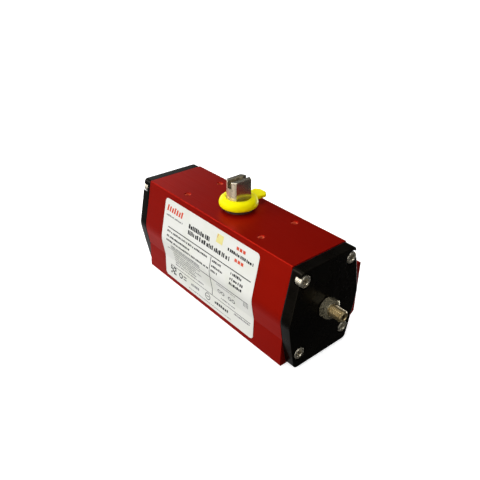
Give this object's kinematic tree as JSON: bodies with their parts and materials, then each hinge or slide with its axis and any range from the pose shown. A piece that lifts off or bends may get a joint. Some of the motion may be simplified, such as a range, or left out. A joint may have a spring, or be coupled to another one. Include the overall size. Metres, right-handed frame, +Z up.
{
  "type": "rotary pneumatic actuator",
  "caption": "Double-acting quarter-turn pneumatic actuator with a red extruded body, black end caps, a slotted drive shaft and a yellow pointer ring.",
  "frame": {"origin": "centre of the bottom mounting face, on the drive shaft's axis", "axes": "+Z up along the drive shaft; X along the cylinder bore, +X towards the right end cap; +Y towards the air ports"},
  "size_m": [0.201, 0.0742, 0.097],
  "materials": {
    "anodised_red": "satin red anodised, extruded",
    "cap_black": "die-cast, smooth glossy black coating",
    "screw_steel": "machined stainless",
    "stop_steel": "machined, faint yellow zinc tint",
    "shaft_steel": "turned and milled, nickel bright",
    "yoke_steel": "machined steel, oiled",
    "spring_steel": "phosphated spring steel",
    "piston_alloy": "die-cast and turned",
    "roller_steel": "ground, hardened",
    "bearing_polymer": "filled bearing polymer",
    "band_polymer": "filled sliding band",
    "washer_steel": "stamped stainless",
    "seal_rubber": "black nitrile",
    "indicator_yellow": "moulded, lightly glossy",
    "plate_film": "printed film, satin"
  },
  "bodies": {
    "actuator_body": {"housing": "anodised_red", "name_plate": "plate_film", "upper_bearing": "bearing_polymer", "lower_bearing": "bearing_polymer", "upper_shaft_seal": "seal_rubber", "lower_shaft_seal": "seal_rubber", "inner_thrust_washer": "bearing_polymer", "end_cap_right": "cap_black", "cap_gasket_right": "seal_rubber", "cap_screws_right": "screw_steel", "stop_nut_right": "stop_steel", "stop_seal_right": "seal_rubber", "end_cap_left": "cap_black", "cap_gasket_left": "seal_rubber", "cap_screws_left": "screw_steel", "stop_nut_left": "stop_steel", "stop_seal_left": "seal_rubber"},
    "shaft_assembly": {"drive_shaft": "shaft_steel", "yoke": "yoke_steel", "yoke_pin": "roller_steel", "outer_thrust_washer": "washer_steel", "retaining_ring": "spring_steel", "position_indicator": "indicator_yellow"},
    "piston_assembly_right": {"piston_right": "piston_alloy", "piston_seal_right": "seal_rubber", "guide_band_right": "band_polymer", "piston_pin_right": "roller_steel"},
    "roller_body_right": {"roller_right": "roller_steel"},
    "stop_screw_body_right": {"stop_screw_right": "stop_steel"},
    "piston_assembly_left": {"piston_left": "piston_alloy", "piston_seal_left": "seal_rubber", "guide_band_left": "band_polymer", "piston_pin_left": "roller_steel"},
    "roller_body_left": {"roller_left": "roller_steel"},
    "stop_screw_body_left": {"stop_screw_left": "stop_steel"}
  },
  "joints": [
    {"name": "shaft_turn", "type": "hinge", "parent": "actuator_body", "child": "shaft_assembly", "pos_m": [0, 0, 0.04], "axis": [0, 0, 1], "range_deg": [0, 90]},
    {"name": "piston_slide_right", "type": "slide", "parent": "actuator_body", "child": "piston_assembly_right", "axis": [1, 0, 0], "range_m": [0, 0.02992]},
    {"name": "roller_spin_right", "type": "hinge", "parent": "piston_assembly_right", "child": "roller_body_right", "pos_m": [-0.01495, -0.016, 0.04], "axis": [0, 0, 1], "continuous": true},
    {"name": "stop_screw_travel_right", "type": "slide", "parent": "actuator_body", "child": "stop_screw_body_right", "axis": [1, 0, 0], "range_m": [0, 0.004]},
    {"name": "piston_slide_left", "type": "slide", "parent": "actuator_body", "child": "piston_assembly_left", "axis": [-1, 0, 0], "range_m": [0, 0.02992]},
    {"name": "roller_spin_left", "type": "hinge", "parent": "piston_assembly_left", "child": "roller_body_left", "pos_m": [0.01495, 0.016, 0.04], "axis": [0, 0, 1], "continuous": true},
    {"name": "stop_screw_travel_left", "type": "slide", "parent": "actuator_body", "child": "stop_screw_body_left", "axis": [-1, 0, 0], "range_m": [0, 0.004]}
  ],
  "couplings": [
    {"joint": "piston_slide_right", "follows": "shaft_turn", "m_per_rad": 0.01904},
    {"joint": "piston_slide_left", "follows": "shaft_turn", "m_per_rad": 0.01904}
  ]
}
